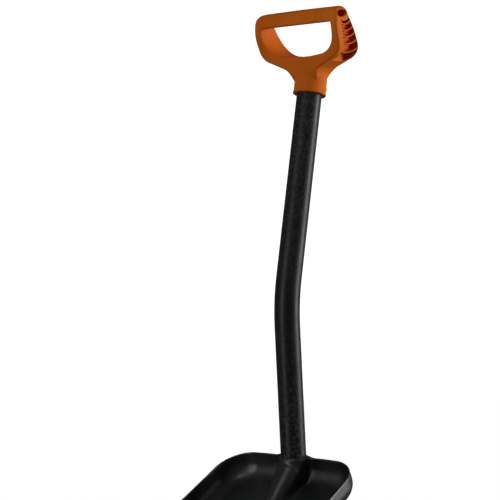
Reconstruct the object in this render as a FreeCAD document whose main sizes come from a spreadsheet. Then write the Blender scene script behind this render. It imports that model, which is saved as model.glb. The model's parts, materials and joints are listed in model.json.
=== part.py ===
"""Compact avalanche shovel: bent tube shaft, moulded D-grip, and a pan blade that unlocks from the shaft.

Millimetres. +X is the shovel's side, -Y the way the blade points, +Z up, with the shaft standing.
The origin is the centre of the grip's crossbar.
"""
import FreeCAD, Part
import math
import os

from FreeCAD import Placement, Rotation, Vector
import Sketcher

doc = FreeCAD.newDocument("avalanche_shovel")

# ---------------------------------------------------------------- driving dimensions
DRIVING = {
    # shaft
    "TubeDiameter": 32.0, "TubeWall": 1.5, "UpperLean": 10.66, "LowerLean": 4.57,
    "UpperLength": 287.8, "LowerLength": 193.1, "BendRadius": 233.0, "TubeInGrip": 39.0,
    # grip
    "GripTilt": 26.0, "SleeveDiameter": 41.0, "SleeveLength": 22.0, "SleeveLip": 42.4, "ThroatStart": 3.0,
    "BarHeight": 77.3, "BarThickness": 16.0, "BarCrown": 1.4, "GripHalfWidth": 63.6,
    "GripRounding": 3.3, "OpeningHalfWidth": 53.5, "OpeningRounding": 3.2,
    "FrontReach": 24.0, "RearReach": 34.0, "BarHoleWidth": 20.0, "BarHoleHeight": 9.0,
    "RibThickness": 1.8, "RibSag": 3.0, "FlangeBack": 8.0, "RearFlange": 2.6,
    # blade
    "BladeSlope": 27.2, "BladeLength": 270.0, "BladeHalfWidth": 100.0, "BladeFlare": 4.0,
    "BackCorner": 38.0, "BackBow": 3.0, "BackBowAngle": 5.3, "PanDepth": 32.5, "PanWall": 2.5,
    "PanRounding": 22.0, "RimBehindAxis": 2.0, "TipSideDrop": 18.0, "TipBow": 9.0, "TipCorner": 14.0,
    # neck and its socket
    "NeckDiameter": 35.5, "NeckBend": 27.5, "NeckTurn": 51.5, "RidgeLength": 78.0,
    "RidgeEndRadius": 6.5, "NeckWall": 3.0, "SocketDepth": 28.0, "SocketRadius": 14.47,
    # spigot and lock
    "SpigotDiameter": 28.84, "SpigotWall": 2.0, "SpigotReach": 70.0, "ButtonHeight": 30.0,
    "ButtonDiameter": 8.0, "ButtonProud": 3.5, "ButtonFlange": 10.6, "FlangeThickness": 1.4,
    "SpringWidth": 9.0, "SpringThickness": 0.8,
    "RivetDiameter": 4.8, "RivetHead": 9.5, "RivetHeadHeight": 1.5,
}
sheet = doc.addObject("Spreadsheet::Sheet", "Sizes")
for row, (alias, value) in enumerate(DRIVING.items(), start=1):
    sheet.set(f"A{row}", alias)
    sheet.set(f"B{row}", str(value))
    sheet.setAlias(f"B{row}", alias)
doc.recompute()


def size(alias):
    """The value of a cell of the sheet."""
    return float(sheet.get(alias))


# ---------------------------------------------------------------- frames, all turned about X only
def leaning(origin, degrees):
    """A frame whose Z leans from upright towards -Y by that angle."""
    return Placement(origin, Rotation(Vector(1, 0, 0), degrees))


def shifted(frame, x=0.0, y=0.0, z=0.0):
    """The same frame, moved along its own axes."""
    return frame.multiply(Placement(Vector(x, y, z), Rotation()))


def backwards(frame):
    """The same frame, with Z turned to where Y was, out of the shaft's back."""
    return frame.multiply(Placement(Vector(), Rotation(Vector(1, 0, 0), -90)))


loop_lean = size("GripTilt") - size("UpperLean")
grip_frame = shifted(leaning(Vector(), loop_lean), z=-size("BarHeight"))
upper_frame = leaning(grip_frame.Base, -size("UpperLean"))
knee = shifted(upper_frame, z=-size("UpperLength")).Base
lower_frame = shifted(leaning(knee, size("LowerLean")), z=-size("LowerLength"))
rim_centre = lower_frame.Base + Vector(0, size("RimBehindAxis"), -1.0)
blade_frame = leaning(rim_centre, size("BladeSlope"))


# ---------------------------------------------------------------- modelling helpers
def new_body(label, frame):
    body = doc.addObject("PartDesign::Body", label)
    body.Label = label
    body.Placement = frame
    return body


def new_sketch(body, name, role, offset=None):
    """A sketch on one of the body's own origin planes, moved from it by offset."""
    sketch = body.newObject("Sketcher::SketchObject", name)
    plane = next(f for f in body.Origin.OriginFeatures if f.Role == role)
    sketch.AttachmentSupport = [(plane, "")]
    sketch.MapMode = "FlatFace"
    if offset:
        sketch.AttachmentOffset = offset
    return sketch


def outline(sketch, start, steps):
    """Draws a closed outline from start. A step is an end point, or an arc's middle and end points."""
    here = start
    for step in list(steps) + [(start,)]:
        end = step[-1]
        if len(step) == 2:
            sketch.addGeometry(Part.Arc(Vector(*here, 0), Vector(*step[0], 0), Vector(*end, 0)), False)
        elif math.dist(here, end) > 1e-6:
            sketch.addGeometry(Part.LineSegment(Vector(*here, 0), Vector(*end, 0)), False)
        here = end


def circle(sketch, expression):
    """A circle about the sketch's origin, with a radius that the sheet drives."""
    index = sketch.addGeometry(Part.Circle(Vector(), Vector(0, 0, 1), 5.0), False)
    sketch.addConstraint(Sketcher.Constraint("Coincident", index, 3, -1, 1))
    radius = sketch.addConstraint(Sketcher.Constraint("Radius", index, 5.0))
    sketch.setExpression(f"Constraints[{radius}]", expression)


def pad(body, sketch, name, length, midplane=False, reverse=False):
    feature = body.newObject("PartDesign::Pad", name)
    feature.Profile = sketch
    feature.Midplane = midplane
    feature.Reversed = reverse
    feature.setExpression("Length", length)
    return feature


def pocket(body, sketch, name, length, midplane=False, reverse=False):
    """Cuts the sketch out of the body, and makes sure that it took something away."""
    doc.recompute()
    before = body.Shape.Volume
    feature = body.newObject("PartDesign::Pocket", name)
    feature.Profile = sketch
    feature.Midplane = midplane
    feature.Reversed = reverse
    feature.Length = length
    doc.recompute()
    assert body.Shape.Volume < before - 1e-3, f"{name} cuts nothing"
    return feature


def cylinder(body, kind, name, frame, radius, height):
    """An AdditiveCylinder or SubtractiveCylinder along the frame's Z, the frame being the world's."""
    feature = body.newObject(f"PartDesign::{kind}Cylinder", name)
    feature.MapMode = "Deactivated"
    feature.Placement = body.Placement.inverse().multiply(frame)
    feature.setExpression("Radius", radius)
    feature.setExpression("Height", height)
    return feature


def rounded(body, name, keep, radius):
    """Rounds the edges of the body for which keep(edge) holds."""
    doc.recompute()
    base = body.Tip
    names = [f"Edge{i}" for i, edge in enumerate(base.Shape.Edges, start=1) if keep(edge)]
    assert names, f"{name} has no edge"
    feature = body.newObject("PartDesign::Fillet", name)
    feature.Base = (base, names)
    feature.setExpression("Radius", radius)
    doc.recompute()
    return feature


def loft(body, kind, name, sections):
    feature = body.newObject(f"PartDesign::{kind}Loft", name)
    feature.Profile = sections[0]
    feature.Sections = sections[1:]
    return feature


def right_and_left(points):
    """The steps of a right half, from top to bottom, then the same back up along the left."""
    start, steps = points[0][-1], points[1:]
    ends = [start] + [step[-1] for step in steps]
    left = []
    for number in range(len(steps) - 1, -1, -1):
        step = tuple((-x, y) for x, y in (*steps[number][:-1], ends[number]))
        left.append(step)
    bottom = ends[-1]
    return start, [*steps, ((-bottom[0], bottom[1]),), *left]


# ---------------------------------------------------------------- shaft
def make_shaft():
    body = new_body("shaft_tube", lower_frame)
    ring = new_sketch(body, "TubeSection", "XY_Plane")
    circle(ring, "Sizes.TubeDiameter / 2")
    circle(ring, "Sizes.TubeDiameter / 2 - Sizes.TubeWall")
    turn = math.radians(size("UpperLean") + size("LowerLean"))
    radius = size("BendRadius")
    tangent = radius * math.tan(turn / 2)
    bend_start = size("LowerLength") - tangent
    upper_run = size("UpperLength") - size("SleeveLength") + size("TubeInGrip")
    spine = new_sketch(body, "TubeLine", "YZ_Plane")

    def on_bend(angle):
        return Vector(radius * (1 - math.cos(angle)), bend_start + radius * math.sin(angle), 0)

    top = Vector(upper_run * math.sin(turn), size("LowerLength") + upper_run * math.cos(turn), 0)
    spine.addGeometry(Part.LineSegment(Vector(), on_bend(0)), False)
    spine.addGeometry(Part.Arc(on_bend(0), on_bend(turn / 2), on_bend(turn)), False)
    spine.addGeometry(Part.LineSegment(on_bend(turn), top), False)
    tube = body.newObject("PartDesign::AdditivePipe", "Tube")
    tube.Profile = ring
    tube.Spine = (spine, ["Edge1", "Edge2", "Edge3"])
    hole = shifted(lower_frame, z=size("ButtonHeight"))
    cylinder(body, "Subtractive", "ButtonHole", backwards(hole), "Sizes.ButtonDiameter / 2 + 0.3",
             "Sizes.TubeDiameter")
    for number, frame in enumerate(grip_rivet_frames(), start=1):
        cylinder(body, "Subtractive", f"TubeRivetHole{number}", frame, "Sizes.RivetDiameter / 2 + 0.05",
                 "Sizes.TubeDiameter")
    return body


def grip_rivet_frames():
    """Two places round the back of the sleeve, with Z out of the sleeve."""
    level = shifted(upper_frame, z=-size("SleeveLength") + 10.0)
    return [backwards(level.multiply(Placement(Vector(), Rotation(Vector(0, 0, 1), way * 30.0))))
            for way in (-1, 1)]


# ---------------------------------------------------------------- grip
RIB_HEIGHTS = (66.0, 58.0, 50.0, 41.0, 30.5, 18.5)
CELL_TOP = 70.0
CELL_BOTTOM = 1.0
# how far out of the middle each open cell between the ribs begins, top cell first
CELL_FLOORS = (57.0, 57.0, 56.8, 55.6, 52.6, 42.0, 19.0)
# how far the grip reaches forward and back, each at a height above the pivot
FRONT_DEPTHS = ((-8.0, 10.0), (0.0, 13.5), (8.0, 16.8), (20.0, 17.7), (36.0, 17.7), (44.0, 18.4),
                (52.0, 19.6), (62.0, 20.0), (70.0, 18.6), (77.0, 16.2), (82.0, 13.0), (87.0, 7.6), (94.0, 1.5))
REAR_DEPTHS = ((-8.0, 6.0), (-2.0, 11.0), (4.0, 17.0), (12.0, 22.6), (20.0, 25.8), (28.0, 27.0),
               (36.0, 25.8), (44.0, 23.4), (54.0, 20.2), (66.0, 14.8), (76.0, 10.8), (82.0, 8.8), (87.0, 5.4),
               (94.0, 1.5))
OUTLINE_DROP, OPENING_DROP = 0.21, 0.133    # how fast the loop's lower walls fall towards the rear
FRONT_FACE = 18.0                           # where that fall is counted from, in front of the middle


def depth_at(depths, height):
    """The depth at that height, between the places of the list."""
    for (low, depth_low), (high, depth_high) in zip(depths, depths[1:]):
        if height <= high:
            return depth_low + (height - low) / (high - low) * (depth_high - depth_low)
    return depths[-1][1]


def loop_outline(drop):
    """The right half of the loop's outer outline, its lower part let down by drop."""
    half = size("GripHalfWidth")
    top = size("BarHeight") + size("BarThickness") / 2 + size("BarCrown")
    return [
        ((0.0, top),),
        ((half - 11.0, top - 0.5),),
        ((half - 2.7, top - 3.4), (half, top - 11.0)),
        ((half - 0.1, 56.0 - 0.3 * drop), (half - 1.2, 42.5 - 0.7 * drop)),
        ((half - 5.5, 32.3 - 0.9 * drop), (half - 14.6, 25.9 - drop)),
        ((28.0 + 0.45 * drop, 16.4 - 0.8 * drop),),
        ((22.7 + 0.25 * drop, 12.4 - 0.95 * drop), (19.6 + 0.15 * drop, 6.5 - 1.2 * drop)),
        ((16.5, -4.0 - 0.3 * drop),),
    ]


def opening_outline(drop):
    """The right half of the hand opening's outline, its lower part let down by drop."""
    reach = size("OpeningHalfWidth")
    ceiling = size("BarHeight") - size("BarThickness") / 2
    return [
        ((0.0, ceiling),),
        ((reach - 3.0, ceiling),),
        ((reach - 0.7, ceiling - 0.9), (reach, ceiling - 3.5)),
        ((reach + 0.2, 58.0 - 0.2 * drop), (reach - 2.6, 47.5 - 0.6 * drop)),
        ((reach - 11.0, 37.0 - 0.85 * drop), (reach - 23.5, 32.0 - drop)),
        ((14.0, 30.3 - drop),),
    ]


def loop_sections(body, name, half_outline, slope):
    """Two sketches of an outline, in front of and behind the grip, for a loft from one to the other."""
    sections = []
    for place, depth in (("Front", -size("FrontReach")), ("Rear", size("RearReach"))):
        lift = Placement(Vector(0, 0, -depth), Rotation())
        section = new_sketch(body, f"{name}{place}", "XZ_Plane", lift)
        outline(section, *right_and_left(half_outline(slope * (depth + FRONT_FACE))))
        sections.append(section)
    return sections


def make_grip():
    body = new_body("grip", grip_frame)
    loft(body, "Additive", "Loop", loop_sections(body, "LoopOutline", loop_outline, OUTLINE_DROP))
    doc.recompute()

    side = new_sketch(body, "SideShape", "YZ_Plane")
    for way, depths in ((-1, FRONT_DEPTHS), (1, REAR_DEPTHS)):
        places = [Vector(way * depth, height, 0) for height, depth in depths]
        curve = Part.BSplineCurve()
        curve.interpolate(places)
        side.addGeometry(curve, False)
        far = [places[-1], Vector(way * 40, places[-1].y, 0), Vector(way * 40, places[0].y, 0), places[0]]
        for here, end in zip(far, far[1:]):
            side.addGeometry(Part.LineSegment(here, end), False)
    pocket(body, side, "SideTaper", 4 * size("GripHalfWidth"), midplane=True)
    rounded(body, "LoopRounding", on_loop_edge, "Sizes.GripRounding")

    loft(body, "Subtractive", "Opening", loop_sections(body, "HandOpening", opening_outline, OPENING_DROP))
    rounded(body, "OpeningRounding", on_opening_edge, "Sizes.OpeningRounding")
    add_sleeve(body)
    cut_cells(body)
    bar = new_sketch(body, "BarHoleShape", "YZ_Plane")
    wide, tall = size("BarHoleWidth") / 2, size("BarHoleHeight") / 2
    centre = Vector(-2.8, size("BarHeight"), 0)
    bar.addGeometry(Part.Ellipse(centre + Vector(wide, 0, 0), centre + Vector(0, tall, 0), centre), False)
    pocket(body, bar, "BarHole", 4 * size("GripHalfWidth"), midplane=True)
    mouth = shifted(upper_frame, z=-size("SleeveLength") - 1)
    cylinder(body, "Subtractive", "TubeBore", mouth, "Sizes.TubeDiameter / 2 + 0.06",
             "Sizes.TubeInGrip + 1.2")
    for number, frame in enumerate(grip_rivet_frames(), start=1):
        cylinder(body, "Subtractive", f"RivetHole{number}", frame, "Sizes.RivetDiameter / 2 + 0.05",
                 "Sizes.SleeveDiameter")
    return body


def add_sleeve(body):
    """The sleeve round the tube, its lip, and the throat that widens from it into the loop."""
    low = size("SleeveLength")
    circle_frame = shifted(upper_frame, z=-size("ThroatStart"))
    ring = new_sketch(body, "ThroatRing", "XY_Plane", grip_frame.inverse().multiply(circle_frame))
    circle(ring, "Sizes.SleeveDiameter / 2")
    middle = new_sketch(body, "ThroatMiddle", "XY_Plane", Placement(Vector(0, 3.4, 13.0), Rotation()))
    middle.addGeometry(Part.Ellipse(Vector(23.5, 0, 0), Vector(0, 18.8, 0), Vector()), False)
    upper = new_sketch(body, "ThroatTop", "XY_Plane", Placement(Vector(0, 3.0, 23.0), Rotation()))
    upper.addGeometry(Part.Ellipse(Vector(29.0, 0, 0), Vector(0, 19.5, 0), Vector()), False)
    loft(body, "Additive", "Throat", [ring, middle, upper])
    bottom = shifted(upper_frame, z=-low)
    cylinder(body, "Additive", "Sleeve", bottom, "Sizes.SleeveDiameter / 2",
             "Sizes.SleeveLength - Sizes.ThroatStart")
    cylinder(body, "Additive", "Lip", bottom, "Sizes.SleeveLip / 2", "3")
    doc.recompute()


def cut_cells(body):
    """The open cells down both sides, with a curved rib left between each and the next."""
    thin, sag = size("RibThickness") / 2, size("RibSag")
    tops = [CELL_TOP, *(height - thin for height in RIB_HEIGHTS)]
    bottoms = [*(height + thin for height in RIB_HEIGHTS), CELL_BOTTOM]
    cells = []
    for number, (top, bottom, floor) in enumerate(zip(tops, bottoms, CELL_FLOORS), start=1):
        front = -size("FlangeBack")
        rear_top, rear_bottom = (depth_at(REAR_DEPTHS, height) - size("RearFlange") for height in (top, bottom))
        lift = Placement(Vector(0, 0, floor), Rotation())
        cell = new_sketch(body, f"CellShape{number}", "YZ_Plane", lift)
        outline(cell, (front, top), [
            (((front + rear_top) / 2, top - sag), (rear_top, top)),
            ((rear_bottom, bottom),),
            (((front + rear_bottom) / 2, bottom - sag), (front, bottom)),
        ])
        cells.append(pocket(body, cell, f"Cell{number}", 60.0, reverse=True))
    other_side = body.newObject("PartDesign::Mirrored", "CellsOtherSide")
    other_side.Originals = cells
    other_side.MirrorPlane = (next(f for f in body.Origin.OriginFeatures if f.Role == "YZ_Plane"), [""])
    before = body.Shape.Volume
    body.Tip = other_side
    doc.recompute()
    assert body.Shape.Volume < before - 1.0, "the far side's cells cut nothing"


def on_loop_edge(edge):
    """An edge between the loop's outer wall and its front or rear skin."""
    box = edge.BoundBox
    flat = max(box.YMax, -box.YMin) - min(abs(box.YMax), abs(box.YMin))
    same_side = box.YMax < -1 or box.YMin > 1
    return same_side and (box.XLength > 0.5 or box.ZLength > 0.5) and flat < 30 and box.ZMin > 8


def on_opening_edge(edge):
    box = edge.BoundBox
    reach = max(box.XMax, -box.XMin)
    inside = reach < size("OpeningHalfWidth") + 1 and (box.ZMax > 29 or reach < 31)
    return inside and (box.YMax < -1 or box.YMin > 1) and box.ZMin > 22 and box.ZMax < 71


# ---------------------------------------------------------------- blade
def pan_outline(body, name, inset):
    """The rim's outline in the rim plane, drawn that far inside the blade's edge, with no corner in it."""
    corner, bow_angle = size("BackCorner"), math.radians(size("BackBowAngle"))
    corner_x = size("BladeHalfWidth") - corner
    flare = math.atan(size("BladeFlare") / size("BladeLength"))
    back = corner + corner_x / math.sin(bow_angle)
    back_y = size("BackBow") - back
    corner_y = back_y + (back - corner) * math.cos(bow_angle)
    middle = (math.pi / 2 - bow_angle + flare) / 2

    run = size("BladeLength") + 40.0

    def on_corner(angle, along_side=0.0):
        """A point of the corner's round at that angle, or of the round at the side's far end."""
        reach = corner - inset
        return (corner_x + along_side * math.sin(flare) + reach * math.cos(angle),
                corner_y - along_side * math.cos(flare) + reach * math.sin(angle))

    def left(place):
        return -place[0], place[1]

    back_end = on_corner(math.pi / 2 - bow_angle)
    near, far = on_corner(flare), on_corner(flare, run)
    far_middle, end = on_corner((flare - math.pi / 2) / 2, run), on_corner(-math.pi / 2, run)
    rim = new_sketch(body, name, "XY_Plane")
    outline(rim, left(back_end), [
        ((0.0, size("BackBow") - inset), back_end), (on_corner(middle), near), (far,),
        (far_middle, end), (left(end),), (left(far_middle), left(far)), (left(near),),
        (left(on_corner(middle)), left(back_end)),
    ])
    return rim


def lies_at(edge, height):
    """True for an edge whose two ends are both at that height in its body."""
    return all(abs(vertex.Z - height) < 1e-3 for vertex in edge.Vertexes)


def pan_form(label, frame, inset, depth, rounding):
    """A solid with the pan's shape, drawn that far inside the blade's edge."""
    body = new_body(label, frame)
    rim = pan_outline(body, f"{label}_rim", inset)
    pad(body, rim, f"{label}_blank", depth, reverse=True)
    doc.recompute()
    floor = min(vertex.Z for vertex in body.Tip.Shape.Vertexes)
    rounded(body, f"{label}_rounding", lambda edge: lies_at(edge, floor), rounding)
    return body


def make_blade():
    body = pan_form("blade", blade_frame, 0.0, "Sizes.PanDepth", "Sizes.PanRounding")
    scoop = pan_form("scoop_form", Placement(), size("PanWall"), "Sizes.PanDepth - Sizes.PanWall",
                     "Sizes.PanRounding - Sizes.PanWall")
    hollow = body.newObject("PartDesign::Boolean", "Scoop")
    hollow.Type = "Cut"
    hollow.setObjects([scoop])
    doc.recompute()
    trim_pan(body)
    add_neck(body)
    return body


def trim_pan(body):
    """Trims the side walls down towards the tip, and the tip to a bowed line with round corners."""
    length, wide = size("BladeLength"), 2 * size("BladeHalfWidth")
    beyond = -length - 130.0
    side = new_sketch(body, "RimDrop", "YZ_Plane")
    drop = size("TipSideDrop")
    outline(side, (-0.4 * length, 30.0), [
        ((-0.4 * length, 1.0),),
        ((-0.72 * length, -0.22 * drop), (-1.02 * length, -drop)),
        ((beyond, -drop - 6.0),),
        ((beyond, 30.0),),
    ])
    pocket(body, side, "SideTrim", 3 * wide, midplane=True)
    tip = new_sketch(body, "TipOutline", "XY_Plane", Placement(Vector(0, 0, 20), Rotation()))
    edge = size("BladeHalfWidth") + size("BladeFlare") + 0.5
    corner = size("TipCorner")
    shoulder = length - size("TipBow")
    outline(tip, (-edge - 30.0, corner - shoulder), [
        ((-edge, corner - shoulder),),
        ((-edge + 0.3 * corner, 0.28 * corner - shoulder), (-edge + corner, -shoulder)),
        ((0.0, -length), (edge - corner, -shoulder)),
        ((edge - 0.3 * corner, 0.28 * corner - shoulder), (edge, corner - shoulder)),
        ((edge + 30.0, corner - shoulder),),
        ((edge + 30.0, beyond),),
        ((-edge - 30.0, beyond),),
    ])
    pocket(body, tip, "TipTrim", 80.0)


def cone(body, kind, name, frame, wide, narrow, height):
    """An AdditiveCone or SubtractiveCone along the frame's Z, the frame being the world's."""
    feature = body.newObject(f"PartDesign::{kind}Cone", name)
    feature.MapMode = "Deactivated"
    feature.Placement = body.Placement.inverse().multiply(frame)
    feature.setExpression("Radius1", wide)
    feature.setExpression("Radius2", narrow)
    feature.setExpression("Height", height)
    return feature


def add_neck(body):
    """The neck that bends into a hollow ridge along the floor, and the socket in its mouth."""
    bend_centre = shifted(lower_frame, y=-size("NeckBend"))
    ring = new_sketch(body, "NeckRing", "XY_Plane", blade_frame.inverse().multiply(bend_centre))
    mouth = ring.addGeometry(Part.Circle(Vector(0, size("NeckBend"), 0), Vector(0, 0, 1), 5.0), False)
    radius = ring.addConstraint(Sketcher.Constraint("Radius", mouth, 5.0))
    ring.setExpression(f"Constraints[{radius}]", "Sizes.NeckDiameter / 2")
    elbow = body.newObject("PartDesign::Revolution", "Elbow")
    elbow.Profile = ring
    elbow.ReferenceAxis = (ring, ["H_Axis"])
    elbow.Reversed = True
    elbow.setExpression("Angle", "Sizes.NeckTurn")

    ridge = shifted(leaning(bend_centre.Base, size("LowerLean") - size("NeckTurn")), y=size("NeckBend"))
    ridge = ridge.multiply(Placement(Vector(), Rotation(Vector(1, 0, 0), 180)))
    cone(body, "Additive", "Ridge", ridge, "Sizes.NeckDiameter / 2", "Sizes.RidgeEndRadius",
         "Sizes.RidgeLength")
    boss_floor = shifted(lower_frame, z=-size("SocketDepth") - 4.0)
    cylinder(body, "Additive", "SocketBoss", boss_floor, "Sizes.NeckDiameter / 2 - 0.15",
             "Sizes.SocketDepth + 3")
    below = new_sketch(body, "UnderFloor", "YZ_Plane")
    floor = -size("PanDepth")
    outline(below, (-17.0, floor), [((-150.0, floor),), ((-150.0, floor - 40.0),), ((-17.0, floor - 40.0),)])
    pocket(body, below, "UnderTrim", 200.0, midplane=True)
    cone(body, "Subtractive", "RidgeHollow", shifted(ridge, z=size("SocketDepth") - 10.0),
         "Sizes.NeckDiameter / 2 - Sizes.NeckWall - 2", "Sizes.RidgeEndRadius - Sizes.NeckWall",
         "Sizes.RidgeLength - 10")
    cylinder(body, "Subtractive", "Socket", shifted(lower_frame, z=-size("SocketDepth")),
             "Sizes.SocketRadius", "Sizes.SocketDepth + 5")
    for number, frame in enumerate(spigot_rivet_frames(), start=1):
        cylinder(body, "Subtractive", f"NeckRivetHole{number}", frame, "Sizes.RivetDiameter / 2 + 0.05",
                 "Sizes.NeckDiameter")
    doc.recompute()


def spigot_rivet_frames():
    """Two places down the back of the socket, with Z out of the back."""
    return [backwards(shifted(lower_frame, z=height)) for height in (-8.5, -20.5)]


# ---------------------------------------------------------------- spigot, lock and rivets
def make_spigot():
    body = new_body("spigot", shifted(lower_frame, z=-size("SocketDepth") + 0.2))
    ring = new_sketch(body, "SpigotSection", "XY_Plane")
    circle(ring, "Sizes.SpigotDiameter / 2")
    circle(ring, "Sizes.SpigotDiameter / 2 - Sizes.SpigotWall")
    pad(body, ring, "SpigotTube", "Sizes.SocketDepth - 0.2 + Sizes.SpigotReach")
    frame = backwards(shifted(lower_frame, z=size("ButtonHeight")))
    cylinder(body, "Subtractive", "SpigotButtonHole", frame, "Sizes.ButtonDiameter / 2 + 0.15",
             "Sizes.TubeDiameter")
    for number, frame in enumerate(spigot_rivet_frames(), start=1):
        cylinder(body, "Subtractive", f"SpigotRivetHole{number}", frame, "Sizes.RivetDiameter / 2 + 0.05",
                 "Sizes.TubeDiameter")
    return body


def make_spigot_plug():
    """The rounded nose that leads the spigot into the shaft."""
    body = new_body("spigot_plug", shifted(lower_frame, z=size("SpigotReach")))
    outer = size("SpigotDiameter") / 2 - 0.1
    stem = size("SpigotDiameter") / 2 - size("SpigotWall") - 0.05
    profile = new_sketch(body, "PlugProfile", "XZ_Plane")
    outline(profile, (0.0, -8.0), [
        ((stem - 0.8, -8.0),), ((stem, -7.2),), ((stem, 0.0),), ((outer, 0.0),), ((outer, 2.2),),
        ((outer - 1.2, 4.4), (outer - 4.0, 5.2)), ((0.0, 5.6),),
    ])
    turned = body.newObject("PartDesign::Revolution", "PlugTurned")
    turned.Profile = profile
    turned.ReferenceAxis = (profile, ["V_Axis"])
    turned.Angle = 360.0
    return body


def make_button():
    """A domed pin with a flange that keeps it inside the spigot."""
    frame = backwards(shifted(lower_frame, z=size("ButtonHeight")))
    proud = size("TubeDiameter") / 2 + size("ButtonProud")
    flange_top = size("SpigotDiameter") / 2 - size("SpigotWall") - 1.6
    flange_low = flange_top - size("FlangeThickness")
    body = new_body("lock_button", frame)
    pin, flange = size("ButtonDiameter") / 2, size("ButtonFlange") / 2
    profile = new_sketch(body, "ButtonProfile", "XZ_Plane")
    outline(profile, (0.0, flange_low), [
        ((flange, flange_low),), ((flange, flange_top),), ((pin, flange_top),), ((pin, proud - 2.0),),
        ((pin - 1.1, proud - 0.5), (0.8, proud)), ((0.0, proud),),
    ])
    turned = body.newObject("PartDesign::Revolution", "ButtonTurned")
    turned.Profile = profile
    turned.ReferenceAxis = (profile, ["V_Axis"])
    turned.Angle = 360.0
    return body, flange_low


def make_spring(button_back):
    """A V of spring strip with its ends pointing down, one leg behind the button's flange."""
    body = new_body("lock_spring", lower_frame)
    thick = size("SpringThickness")
    front = -(size("SpigotDiameter") / 2 - size("SpigotWall")) + 1.2
    back = button_back - 0.05
    low, shoulder, peak = 19.0, 41.0, 60.5
    strip = new_sketch(body, "SpringShape", "YZ_Plane")
    outline(strip, (back, low), [
        ((back, shoulder),), ((1.6, peak - 1.2),), ((0.4, peak), (-0.8, peak - 1.2)), ((front, shoulder),),
        ((front, low),), ((front + thick, low),), ((front + thick, shoulder - 0.2),),
        ((-0.1, peak - 2.2),), ((0.4, peak - thick - 0.4), (0.9, peak - 2.2)),
        ((back - thick, shoulder - 0.2),), ((back - thick, low),),
    ])
    pad(body, strip, "SpringStrip", "Sizes.SpringWidth", midplane=True)
    return body


def make_rivets(label, frames, outside, inside):
    """A blind rivet in each frame: shank, domed head out at the back, and bulb on the inside."""
    shank, head, tall = size("RivetDiameter") / 2, size("RivetHead") / 2, size("RivetHeadHeight")
    made = []
    for number, frame in enumerate(frames, start=1):
        body = new_body(f"{label}_{number}", frame)
        profile = new_sketch(body, f"{label}Profile{number}", "XZ_Plane")
        outline(profile, (0.0, inside - 3.2), [
            ((1.6, inside - 3.2),), ((shank + 0.6, inside - 2.4), (shank + 0.7, inside - 1.2)),
            ((shank, inside - 0.4),), ((shank, outside),), ((head, outside),), ((head, outside + 0.3),),
            ((0.62 * head, outside + 0.8 * tall), (0.8, outside + tall)), ((0.0, outside + tall),),
        ])
        turned = body.newObject("PartDesign::Revolution", f"{label}Turned{number}")
        turned.Profile = profile
        turned.ReferenceAxis = (profile, ["V_Axis"])
        turned.Angle = 360.0
        made.append(body)
    group = doc.addObject("Part::Compound", label)
    group.Label = label
    group.Links = made
    return group


# ---------------------------------------------------------------- build, check and write
tube_inner = size("TubeDiameter") / 2 - size("TubeWall")
spigot_inner = size("SpigotDiameter") / 2 - size("SpigotWall")
shaft_tube = make_shaft()
grip = make_grip()
blade = make_blade()
spigot = make_spigot()
spigot_plug = make_spigot_plug()
lock_button, button_back = make_button()
lock_spring = make_spring(button_back)
grip_rivets = make_rivets("grip_rivets", grip_rivet_frames(), size("SleeveDiameter") / 2 + 0.05, tube_inner)
spigot_rivets = make_rivets("spigot_rivets", spigot_rivet_frames(), size("NeckDiameter") / 2 + 0.05,
                            spigot_inner)
doc.recompute()

SUB_PARTS = [shaft_tube, grip, grip_rivets, blade, spigot, spigot_plug, spigot_rivets, lock_button,
             lock_spring]
for thing in doc.Objects:
    assert not {"Invalid", "Error"} & set(thing.State), f"{thing.Name} is {thing.State}"
for sub_part in SUB_PARTS:
    shape = sub_part.Shape
    assert not shape.isNull() and shape.isValid(), f"{sub_part.Label} has no valid shape"
    solids = len(shape.Solids)
    print(f"{sub_part.Label}: {solids} solid(s), {shape.Volume / 1000:.1f} cm3")

os.makedirs("parts", exist_ok=True)
for sub_part in SUB_PARTS:
    sub_part.Shape.exportStep(f"parts/{sub_part.Label}.step")
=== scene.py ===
"""Avalanche shovel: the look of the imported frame.

Metres, in the frame's own axes: +Z up the shaft, -Y towards the blade's tip, X across.
The grip and the blade are replaced by finer meshes; every other CAD node keeps its shape.
"""
import json
import math

import bpy
import numpy as np
from mathutils import Matrix, Vector


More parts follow.
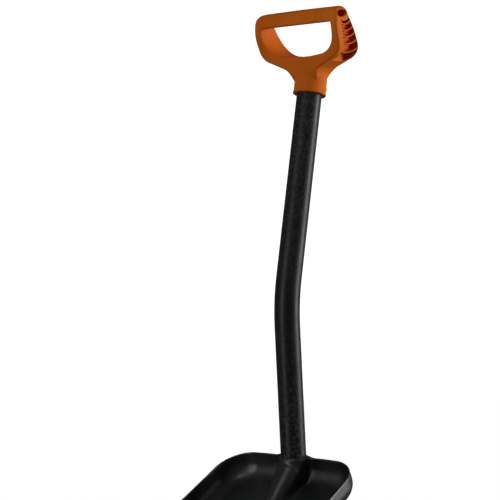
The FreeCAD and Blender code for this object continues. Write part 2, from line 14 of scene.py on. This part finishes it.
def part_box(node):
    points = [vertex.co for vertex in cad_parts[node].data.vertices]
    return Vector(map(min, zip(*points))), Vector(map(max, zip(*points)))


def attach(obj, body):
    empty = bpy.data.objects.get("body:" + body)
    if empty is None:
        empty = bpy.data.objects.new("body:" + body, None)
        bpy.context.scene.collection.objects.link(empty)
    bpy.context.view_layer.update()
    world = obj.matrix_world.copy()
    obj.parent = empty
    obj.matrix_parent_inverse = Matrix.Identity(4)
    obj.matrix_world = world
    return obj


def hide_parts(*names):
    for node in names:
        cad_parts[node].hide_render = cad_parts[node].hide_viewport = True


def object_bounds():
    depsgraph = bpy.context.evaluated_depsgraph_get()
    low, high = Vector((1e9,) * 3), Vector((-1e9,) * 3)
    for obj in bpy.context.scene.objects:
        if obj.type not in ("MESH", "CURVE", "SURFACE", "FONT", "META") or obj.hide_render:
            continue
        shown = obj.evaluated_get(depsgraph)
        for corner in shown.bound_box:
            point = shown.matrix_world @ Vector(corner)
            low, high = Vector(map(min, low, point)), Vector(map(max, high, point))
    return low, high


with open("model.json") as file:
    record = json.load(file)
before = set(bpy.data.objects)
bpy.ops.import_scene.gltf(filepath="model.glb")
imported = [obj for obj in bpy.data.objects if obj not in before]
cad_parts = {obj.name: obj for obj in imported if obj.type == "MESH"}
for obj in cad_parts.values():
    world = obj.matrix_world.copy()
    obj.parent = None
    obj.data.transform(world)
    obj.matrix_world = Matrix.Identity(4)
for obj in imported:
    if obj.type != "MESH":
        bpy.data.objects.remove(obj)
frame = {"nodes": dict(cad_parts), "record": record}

cad_low, cad_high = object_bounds()
nodes = frame["nodes"]
mounts = {mount["name"]: mount for mount in frame["record"]["mounts"]}

# ---------------------------------------------------------------- sizes, in metres
GRIP_LEAN = math.radians(15.34)      # how far the loop of the grip leans from upright
PAN_DEPTH, PAN_WALL, PAN_ROUNDING = 0.0325, 0.0025, 0.022
PAN_HALF_WIDTH, PAN_FLARE, PAN_LENGTH = 0.0998, 0.004, 0.270
BACK_CORNER, BACK_BOW = 0.038, 0.003
TIP_BOW, TIP_CORNER, TIP_SIDE_DROP = 0.009, 0.016, 0.018
EDGE_ROUNDING = 0.0011
FACE_FROM_BACK = 0.170               # from the rim's back to the mount on the underside
NECK_RADIUS, NECK_BEND, NECK_TURN = 0.01775, 0.0275, math.radians(51.5)
RIDGE_LENGTH, RIDGE_END_RADIUS, RIDGE_WALL = 0.078, 0.0065, 0.003
RIDGE_BLEND = 0.012                  # how softly the ridge flows into the floor
HOLLOW_START, HOLLOW_MARGIN = 0.018, 0.001   # where the ridge is open below, and how much thicker its wall is
SIDE_FALL_START, SIDE_FALL_RUN, SIDE_FALL_POWER = 0.42, 0.6, 1.8   # shares of the pan's length
SOCKET_RADIUS, SOCKET_DEPTH = 0.01453, 0.028
BOSS_DEPTH, BOSS_ROUNDING = 0.032, 0.003
CLIP_TO_MOUTH = 0.100                # from the clip's mount down to the socket's mouth
BLADE_SPACE_LOW, BLADE_SPACE_HIGH = (-0.107, -PAN_LENGTH - 0.003, -0.045), (0.107, 0.022, 0.012)
FINE_STEP, QUICK_STEP = 0.001, 0.0014        # the grid that the blade is found on
FINE_VOXEL, QUICK_VOXEL = 0.0006, 0.0012     # the grid that the grip is remeshed on


# ---------------------------------------------------------------- shapes as distances
def smooth_min(a, b, blend):
    """The union of two distances, with a fillet."""
    share = np.clip(0.5 + 0.5 * (b - a) / blend, 0.0, 1.0)
    return b + (a - b) * share - blend * share * (1.0 - share)


def round_max(a, b, radius):
    """What two distances share, with its outer edge rounded to the radius."""
    corner = np.hypot(np.maximum(a + radius, 0.0), np.maximum(b + radius, 0.0))
    return np.minimum(np.maximum(a, b), -radius) + corner


def cut(a, b, radius):
    """The first with the second taken out of it, and the cut's edge rounded."""
    return round_max(a, -b, radius)


def surface(distance, low, high, step):
    """The corners and quads of the surface where distance() is zero."""
    counts = [int(math.ceil((h - l) / step)) + 1 for l, h in zip(low, high)]
    lines = [l + step * np.arange(count) for l, count in zip(low, counts)]
    value = np.empty(counts, np.float32)
    flat = np.stack(np.meshgrid(lines[1], lines[2], indexing="ij"), -1).reshape(-1, 2)
    for i, x in enumerate(lines[0]):
        slab = np.column_stack([np.full(len(flat), x), flat])
        value[i] = distance(slab).reshape(counts[1:])
    inside = value < 0
    corners = [(i, j, k) for i in (0, 1) for j in (0, 1) for k in (0, 1)]
    shape = tuple(count - 1 for count in counts)

    def at(grid, offset):
        return grid[tuple(slice(o, o + n) for o, n in zip(offset, shape))]

    total = sum(at(inside, corner).astype(np.int8) for corner in corners)
    cells = np.argwhere((total > 0) & (total < 8))
    number = np.full(shape, -1, np.int64)
    number[tuple(cells.T)] = np.arange(len(cells))
    points, hits = np.zeros((len(cells), 3)), np.zeros(len(cells))
    for a in corners:
        for b in corners:
            if sum(b) - sum(a) != 1 or any(y < x for x, y in zip(a, b)):
                continue
            va, vb = value[tuple((cells + a).T)], value[tuple((cells + b).T)]
            crossed = (va < 0) != (vb < 0)
            share = np.where(crossed, va / np.where(crossed, va - vb, 1.0), 0.0)
            points += crossed[:, None] * (np.array(a) + share[:, None] * (np.array(b) - np.array(a)))
            hits += crossed
    points = (cells + points / hits[:, None]) * step + np.array(low)

    quads = []
    for axis in range(3):
        second, third = (axis + 1) % 3, (axis + 2) % 3
        near = [slice(1, -1)] * 3
        near[axis] = slice(0, -1)
        far = list(near)
        far[axis] = slice(1, None)
        near, far = inside[tuple(near)], inside[tuple(far)]
        for outward, crossing in ((True, near & ~far), (False, ~near & far)):
            edges = np.argwhere(crossing)
            edges[:, second] += 1
            edges[:, third] += 1
            ring = []
            for back_second, back_third in ((1, 1), (0, 1), (0, 0), (1, 0)):
                cell = edges.copy()
                cell[:, second] -= back_second
                cell[:, third] -= back_third
                ring.append(number[tuple(cell.T)])
            quads.append(np.column_stack(ring if outward else ring[::-1]))
    return points, np.vstack(quads)


def settled(distance, points, rounds=3, nudge=2e-5):
    """The points, moved onto the surface where distance() is zero."""
    for _ in range(rounds):
        slope = np.empty_like(points)
        for axis in range(3):
            offset = np.zeros(3)
            offset[axis] = nudge
            slope[:, axis] = (distance(points + offset) - distance(points - offset)) / (2 * nudge)
        steep = np.maximum((slope ** 2).sum(1), 0.25)
        points = points - (distance(points) / steep)[:, None] * slope
    return points


# ---------------------------------------------------------------- places, from the frame
def frame_along(origin, up):
    """A frame at origin whose Z is up and whose X is the row's."""
    up = Vector(up).normalized()
    across = Vector((1.0, 0.0, 0.0))
    turn = Matrix((across, up.cross(across), up)).transposed()
    return Matrix.Translation(origin) @ turn.to_4x4()


under_face = mounts["blade_back"]
pan_frame = frame_along(Vector(under_face["pos_m"]), -Vector(under_face["axis"]))
pan_frame = pan_frame @ Matrix.Translation((0.0, FACE_FROM_BACK, PAN_DEPTH))
clip = mounts["shaft_clip"]
neck_frame = frame_along(Vector(clip["pos_m"]), clip["axis"]) @ Matrix.Translation((0, 0, -CLIP_TO_MOUTH))
neck_in_pan = pan_frame.inverted() @ neck_frame


# ---------------------------------------------------------------- the blade, in the pan's own frame
def outline(x, y):
    """Distance to the rim seen from above: straight flaring sides and a bowed back with round corners."""
    half = PAN_HALF_WIDTH - PAN_FLARE * np.minimum(y, 0.0) / PAN_LENGTH
    back = BACK_BOW * (1.0 - (x / PAN_HALF_WIDTH) ** 2)
    return round_max(np.abs(x) - half, y - back, BACK_CORNER)


def side_height(y):
    """How high the side walls stand: level at the back, and falling in an arc towards the tip."""
    ahead = np.clip((-y / PAN_LENGTH - SIDE_FALL_START) / SIDE_FALL_RUN, 0.0, None)
    return -TIP_SIDE_DROP * ahead ** SIDE_FALL_POWER


def neck(points):
    """Distance to the elbow that turns out of the socket, and to the ridge that it runs out into."""
    to_neck = np.array(neck_in_pan.inverted())
    local = points @ to_neck[:3, :3].T + to_neck[:3, 3]
    x, y, z = local[:, 0], local[:, 1] + NECK_BEND, local[:, 2]
    turn = np.clip(np.arctan2(-z, y), 0.0, NECK_TURN)
    off = np.stack([x, y - NECK_BEND * np.cos(turn), z + NECK_BEND * np.sin(turn)])
    elbow = np.sqrt((off ** 2).sum(0)) - NECK_RADIUS
    ahead = np.array([0.0, -math.sin(NECK_TURN), -math.cos(NECK_TURN)])
    start = np.array([0.0, NECK_BEND * math.cos(NECK_TURN), -NECK_BEND * math.sin(NECK_TURN)])
    here = np.stack([x, y, z], -1) - start
    run = here @ ahead
    share = np.clip(run / RIDGE_LENGTH, 0.0, 1.0)
    away = here - share[:, None] * RIDGE_LENGTH * ahead
    axis_distance = np.sqrt((away ** 2).sum(1))
    ridge = axis_distance - (NECK_RADIUS + share * (RIDGE_END_RADIUS - NECK_RADIUS))
    hollow = np.maximum(ridge + RIDGE_WALL + HOLLOW_MARGIN, HOLLOW_START - run)
    return np.minimum(elbow, ridge), hollow, local


def blade(points):
    """Distance to the whole blade: pressed pan, ridge, socket and its bore."""
    x, y, z = points.T
    rim = outline(x, y)
    pan = round_max(rim, -z - PAN_DEPTH, PAN_ROUNDING)
    sheet = np.maximum(pan, -pan - PAN_WALL)
    sheet = round_max(sheet, z - side_height(y), EDGE_ROUNDING)
    tip = -y - PAN_LENGTH + TIP_BOW * (x / (PAN_HALF_WIDTH - TIP_CORNER)) ** 2
    sheet = round_max(sheet, round_max(rim, tip, TIP_CORNER), EDGE_ROUNDING)

    ridge, hollow, local = neck(points)
    whole = smooth_min(sheet, round_max(ridge, local[:, 2], EDGE_ROUNDING), RIDGE_BLEND)
    whole = cut(np.maximum(whole, -z - PAN_DEPTH), hollow, EDGE_ROUNDING)
    from_axis = np.hypot(local[:, 0], local[:, 1])
    boss = round_max(from_axis - NECK_RADIUS, -local[:, 2] - BOSS_DEPTH, BOSS_ROUNDING)
    whole = smooth_min(whole, np.maximum(boss, local[:, 2] + BOSS_ROUNDING), BOSS_ROUNDING)
    bore = np.maximum(from_axis - SOCKET_RADIUS, -local[:, 2] - SOCKET_DEPTH)
    above_mouth = np.maximum(from_axis - NECK_RADIUS - BOSS_ROUNDING, -local[:, 2])
    return np.maximum(cut(whole, bore, EDGE_ROUNDING * 0.5), -above_mouth)


# ---------------------------------------------------------------- meshes
def new_mesh(name, points, faces):
    mesh = bpy.data.meshes.new(name)
    mesh.vertices.add(len(points))
    mesh.vertices.foreach_set("co", np.asarray(points, np.float32).ravel())
    mesh.loops.add(faces.size)
    mesh.loops.foreach_set("vertex_index", faces.astype(np.int32).ravel())
    mesh.polygons.add(len(faces))
    mesh.polygons.foreach_set("loop_start", np.arange(len(faces), dtype=np.int32) * faces.shape[1])
    mesh.update(calc_edges=True)
    mesh.validate()
    return mesh


def new_object(name, mesh):
    piece = bpy.data.objects.new(name, mesh)
    bpy.context.scene.collection.objects.link(piece)
    return piece


def corners_of(mesh):
    points = np.empty(len(mesh.vertices) * 3, np.float32)
    mesh.vertices.foreach_get("co", points)
    return points.reshape(-1, 3).astype(float)


def with_modifiers(piece, *modifiers):
    """Applies the modifiers, each a type and its settings, to the piece's mesh."""
    for kind, settings in modifiers:
        modifier = piece.modifiers.new(kind.lower(), kind)
        for key, value in settings.items():
            setattr(modifier, key, value)
    view = bpy.context.evaluated_depsgraph_get()
    mesh = bpy.data.meshes.new_from_object(piece.evaluated_get(view))
    piece.modifiers.clear()
    old, piece.data = piece.data, mesh
    bpy.data.meshes.remove(old)
    return piece


def smooth_shaded(piece):
    piece.data.polygons.foreach_set("use_smooth", [True] * len(piece.data.polygons))
    return piece


def make_blade():
    step = FINE_STEP
    points, quads = surface(blade, BLADE_SPACE_LOW, BLADE_SPACE_HIGH, step)
    piece = new_object("blade_pressed", new_mesh("blade_pressed", settled(blade, points), quads))
    with_modifiers(piece, ("DECIMATE", {"ratio": 0.4, "use_symmetry": False}))
    triangles = piece.data
    triangles.vertices.foreach_set("co", settled(blade, corners_of(triangles)).astype(np.float32).ravel())
    triangles.transform(pan_frame)
    triangles.update()
    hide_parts("blade")
    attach(piece, "blade")
    return smooth_shaded(piece)


def make_grip():
    """The grip's solid, remeshed square to its loop and relaxed so that every edge is moulded round."""
    mesh = nodes["grip"].data.copy()
    upright = Matrix.Rotation(-GRIP_LEAN, 4, "X")
    mesh.transform(upright)
    piece = new_object("grip_moulded", mesh)
    size = FINE_VOXEL
    with_modifiers(
        piece,
        ("REMESH", {"mode": "VOXEL", "voxel_size": size, "adaptivity": 0.0}),
        ("SMOOTH", {"factor": 0.5, "iterations": 5}),
        ("SMOOTH", {"factor": -0.35, "iterations": 3}),
        ("SMOOTH", {"factor": 0.5, "iterations": 3}),
        ("DECIMATE", {"ratio": 0.5}),
    )
    piece.data.transform(upright.inverted())
    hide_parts("grip")
    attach(piece, "shaft")
    return smooth_shaded(piece)


# ---------------------------------------------------------------- materials
class Nodes:
    """A material's node tree, with short calls for the nodes that these materials share."""

    def __init__(self, name, **shader):
        self.material = bpy.data.materials.new(name)
        self.material.use_nodes = True
        self.tree = self.material.node_tree
        self.shader = self.tree.nodes["Principled BSDF"]
        for key, value in shader.items():
            self.shader.inputs[key.replace("_", " ")].default_value = value
        self.place = self.tree.nodes.new("ShaderNodeTexCoord").outputs["Object"]

    def add(self, kind, inputs=(), **settings):
        node = self.tree.nodes.new("ShaderNode" + kind)
        for key, value in settings.items():
            setattr(node, key, value)
        for socket, value in dict(inputs).items():
            if isinstance(value, bpy.types.NodeSocket):
                self.tree.links.new(value, node.inputs[socket])
            else:
                node.inputs[socket].default_value = value
        return node

    def noise(self, scale, detail=2.0, stretch=(1.0, 1.0, 1.0), turn=(0.0, 0.0, 0.0), rough=0.5):
        """Noise with that many features to the metre, drawn out along its turned axes by stretch."""
        spread = self.add("Mapping", {"Vector": self.place, "Scale": stretch, "Rotation": turn},
                          vector_type="TEXTURE")
        made = self.add("TexNoise", {"Vector": spread.outputs["Vector"], "Scale": scale,
                                     "Detail": detail, "Roughness": rough})
        return made.outputs["Fac"]

    def between(self, value, low, high, to_low=0.0, to_high=1.0):
        """The value, taken from low..high to to_low..to_high and held there."""
        return self.add("MapRange", {"Value": value, "From Min": low, "From Max": high,
                                     "To Min": to_low, "To Max": to_high}).outputs["Result"]

    def times(self, a, b):
        return self.add("Math", {0: a, 1: b}, operation="MULTIPLY").outputs["Value"]

    def tint(self, share, a, b):
        """From colour a to colour b by the share."""
        mixed = self.add("Mix", data_type="RGBA")
        for socket, value in (("Factor_Float", share), ("A_Color", a), ("B_Color", b)):
            target = next(s for s in mixed.inputs if s.identifier == socket)
            if isinstance(value, bpy.types.NodeSocket):
                self.tree.links.new(value, target)
            else:
                target.default_value = value
        return next(s for s in mixed.outputs if s.identifier == "Result_Color")

    def edges(self, low, high):
        """1 along worn outer edges, 0 elsewhere."""
        return self.between(self.add("NewGeometry").outputs["Pointiness"], low, high)

    def finish(self, colour, rough, *bumps):
        """Sets the colour and roughness, and one bump after another, each a height and its depth."""
        self.tree.links.new(colour, self.shader.inputs["Base Color"])
        self.tree.links.new(rough, self.shader.inputs["Roughness"])
        normal = None
        for height, depth in bumps:
            inputs = {"Height": height, "Distance": depth, "Strength": 1.0}
            if normal is not None:
                inputs["Normal"] = normal
            normal = self.add("Bump", inputs).outputs["Normal"]
        self.tree.links.new(normal, self.shader.inputs["Normal"])
        return self.material


def linear(red, green, blue):
    """A colour given as 0 to 255 on a screen, as the shader wants it."""
    part = [value / 255.0 for value in (red, green, blue)]
    return (*[p / 12.92 if p <= 0.04045 else ((p + 0.055) / 1.055) ** 2.4 for p in part], 1.0)


def moulded_orange():
    """Orange nylon with a fine spark-eroded grain, faint flow clouds, paler edges, and painted shade: its
    recesses are tinted a darker red.
    """
    look = Nodes("moulded_orange", Metallic=0.0)
    look.shader.inputs["Specular IOR Level"].default_value = 0.05
    clouds = look.noise(26.0, 3.0, (1.0, 1.0, 2.2))
    colour = look.tint(look.between(clouds, 0.35, 0.68), linear(214, 104, 24), linear(225, 115, 31))
    worn = look.times(look.edges(0.54, 0.66), look.between(look.noise(140.0, 4.0), 0.4, 0.7))
    colour = look.tint(look.times(worn, 0.35), colour, linear(236, 138, 62))
    # Painted shade: ambient occlusion tints the recesses, where little light reaches, a darker red.
    open_sky = look.add("AmbientOcclusion", {"Distance": 0.014}, samples=12).outputs["AO"]
    painted_shade = look.between(open_sky, 0.75, 0.15, 0.0, 0.75)
    colour = look.tint(painted_shade, colour, linear(196, 50, 30))
    rough = look.between(look.noise(60.0, 4.0), 0.3, 0.7, 0.46, 0.56)
    return look.finish(colour, rough, (look.noise(900.0, 2.0), 0.00012),
                       (look.noise(120.0, 2.0), 0.00005))


def powder_black(name, dark, light, specular, low_rough, high_rough, along):
    """Satin black coating with an orange-peel skin, worn edges, and fine rubs along the given axis."""
    look = Nodes(name, Metallic=0.0)
    look.shader.inputs["Specular IOR Level"].default_value = specular
    clouds = look.noise(18.0, 4.0)
    colour = look.tint(look.between(clouds, 0.3, 0.7), dark, light)
    streaks = look.noise(420.0, 3.0, (1.0, 1.0, 50.0), along, 0.6)
    rubs = look.times(look.between(streaks, 0.62, 0.74), look.between(look.noise(9.0, 3.0), 0.5, 0.68))
    colour = look.tint(look.times(rubs, 0.35), colour, linear(74, 75, 78))
    worn = look.times(look.edges(0.53, 0.60), look.between(look.noise(260.0, 4.0), 0.45, 0.7))
    colour = look.tint(look.times(worn, 0.5), colour, linear(92, 93, 96))
    rough = look.between(look.noise(70.0, 4.0), 0.3, 0.7, low_rough, high_rough)
    return look.finish(colour, rough, (look.noise(1300.0, 2.0), 0.00004),
                       (look.noise(330.0, 2.0), 0.00003), (streaks, 0.00002))


def turned_metal(name, colour, dark, rough, along, fine=1500.0):
    """Bare metal with turning or drawing marks along one axis."""
    look = Nodes(name, Metallic=1.0)
    marks = look.noise(fine, 3.0, (1.0, 1.0, 25.0), along, 0.6)
    shade = look.tint(look.between(marks, 0.3, 0.7), dark, colour)
    stains = look.between(look.noise(90.0, 4.0), 0.5, 0.72, 0.0, 0.4)
    shade = look.tint(stains, shade, dark)
    roughness = look.between(marks, 0.3, 0.7, rough - 0.06, rough + 0.08)
    return look.finish(shade, roughness, (marks, 0.00004), (look.noise(500.0, 2.0), 0.00002))


def black_nylon():
    look = Nodes("black_nylon", Metallic=0.0)
    colour = look.tint(look.noise(60.0, 3.0), linear(26, 26, 27), linear(38, 38, 40))
    rough = look.between(look.noise(300.0, 3.0), 0.3, 0.7, 0.5, 0.66)
    return look.finish(colour, rough, (look.noise(1100.0, 2.0), 0.0001), (look.noise(200.0), 0.00004))


def clothe(name, material):
    """Gives every slot of a CAD node that one material."""
    for slot in nodes[name].material_slots:
        slot.material = material


along_shaft = (-math.asin(clip["axis"][1]), 0.0, 0.0)
along_blade = (math.asin(under_face["axis"][1]) - math.pi / 2, 0.0, 0.0)
orange = moulded_orange()
tube_black = powder_black("powder_black_tube", linear(19, 20, 20), linear(27, 28, 29), 0.26, 0.36, 0.46,
                          along_shaft)
pan_black = powder_black("powder_black_pan", linear(20, 20, 23), linear(30, 31, 36), 0.75, 0.34, 0.46,
                         along_blade)
bare = turned_metal("drawn_aluminium", linear(206, 208, 210), linear(160, 162, 166), 0.34, along_shaft)
rivet = turned_metal("rivet_aluminium", linear(190, 191, 192), linear(128, 129, 132), 0.38, along_shaft,
                     2600.0)
steel = turned_metal("button_steel", linear(176, 177, 178), linear(120, 121, 124), 0.28, along_shaft, 2600.0)
spring = turned_metal("spring_steel", linear(120, 121, 126), linear(66, 67, 74), 0.34, along_shaft)
for node, look in (("shaft_tube", tube_black), ("grip_rivets", rivet), ("spigot", bare),
                   ("spigot_plug", black_nylon()), ("spigot_rivets", rivet), ("lock_button", steel),
                   ("lock_spring", spring)):
    clothe(node, look)
for piece, look in ((make_grip(), orange), (make_blade(), pan_black)):
    piece.data.materials.clear()
    piece.data.materials.append(look)


# ---------------------------------------------------------------- camera
AZIMUTH = math.radians(38.0)
CAMERA_DISTANCE = 1.832
LENS = 106.3
# the picture's middle, from the middle of the shaft's box: to the right, away, and up
AIM = (-0.0627, -0.0228, 0.0105)

right = Vector((math.cos(AZIMUTH), math.sin(AZIMUTH), 0.0))
away = Vector((-math.sin(AZIMUTH), math.cos(AZIMUTH), 0.0))
up = Vector((0.0, 0.0, 1.0))
shaft_low, shaft_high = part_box("shaft_tube")
shaft_middle = (shaft_low + shaft_high) / 2


def placed(from_right, from_away, from_up):
    """A point given from the middle of the shaft, in the camera's own directions."""
    return shaft_middle + from_right * right + from_away * away + from_up * up


aim = placed(*AIM)
camera_data = bpy.data.cameras.new("camera")
camera_data.lens, camera_data.sensor_width = LENS, 36.0
camera = bpy.data.objects.new("camera", camera_data)
bpy.context.scene.collection.objects.link(camera)
camera.location = aim - CAMERA_DISTANCE * away
camera.rotation_euler = away.to_track_quat("-Z", "Y").to_euler()
bpy.context.scene.camera = camera


# ---------------------------------------------------------------- floor, backdrop and light
def make_floor():
    """A wide pale floor that curves up into a backdrop all round."""
    flat, bend, wall_top, spokes = 2.4, 0.9, 4.2, 72
    rings = [(flat, 0.0)]
    rings += [(flat + bend * math.sin(a), bend - bend * math.cos(a)) for a in np.radians(range(10, 91, 10))]
    rings.append((flat + bend, wall_top))
    points, faces = [], []
    for radius, height in rings:
        for spoke in range(spokes):
            angle = 2 * math.pi * spoke / spokes
            points.append((radius * math.cos(angle), radius * math.sin(angle), height))
    for ring in range(len(rings) - 1):
        for spoke in range(spokes):
            following = (spoke + 1) % spokes
            faces.append((ring * spokes + spoke, ring * spokes + following,
                          (ring + 1) * spokes + following, (ring + 1) * spokes + spoke))
    faces.append(tuple(range(spokes)))
    mesh = bpy.data.meshes.new("floor")
    mesh.from_pydata(points, [], faces)
    floor = smooth_shaded(new_object("floor", mesh))
    middle = (cad_low + cad_high) / 2
    floor.location = (middle.x, middle.y, cad_low.z - 0.0005)
    paper = Nodes("pale_paper")
    grain = paper.noise(3.0, 2.0)
    shade = paper.tint(grain, (0.80, 0.80, 0.80, 1.0), (0.84, 0.84, 0.84, 1.0))
    paper.shader.inputs["Emission Color"].default_value = (1.0, 1.0, 1.0, 1.0)
    paper.shader.inputs["Emission Strength"].default_value = 1.0
    paper.finish(shade, paper.between(grain, 0.0, 1.0, 0.9, 0.95), (paper.noise(200.0), 0.00002))
    floor.data.materials.append(paper.material)
    floor.visible_diffuse = floor.visible_glossy = False


def soft_light(name, place, width, height, power, tone=(1.0, 1.0, 1.0)):
    """A rectangular soft box at the place, turned to the middle of the shaft."""
    data = bpy.data.lights.new(name, "AREA")
    data.shape, data.size, data.size_y = "RECTANGLE", width, height
    data.energy, data.color = power, tone
    lamp = new_object(name, data)
    lamp.location = placed(*place)
    lamp.rotation_euler = (shaft_middle - lamp.location).to_track_quat("-Z", "Y").to_euler()


make_floor()
soft_light("key_right", (1.56, 0.06, 0.16), 0.70, 1.3, 22.0)
soft_light("fill_left", (-1.30, -1.10, 0.0), 0.5, 1.5, 8.5)
soft_light("front_top", (-0.5, -1.2, 1.3), 0.8, 0.5, 3.4)
world = bpy.data.worlds.new("studio")
world.use_nodes = True
world.node_tree.nodes["Background"].inputs["Color"].default_value = (1.0, 1.0, 1.0, 1.0)
world.node_tree.nodes["Background"].inputs["Strength"].default_value = 0.09
bpy.context.scene.world = world
bpy.context.scene.view_settings.view_transform = "Standard"
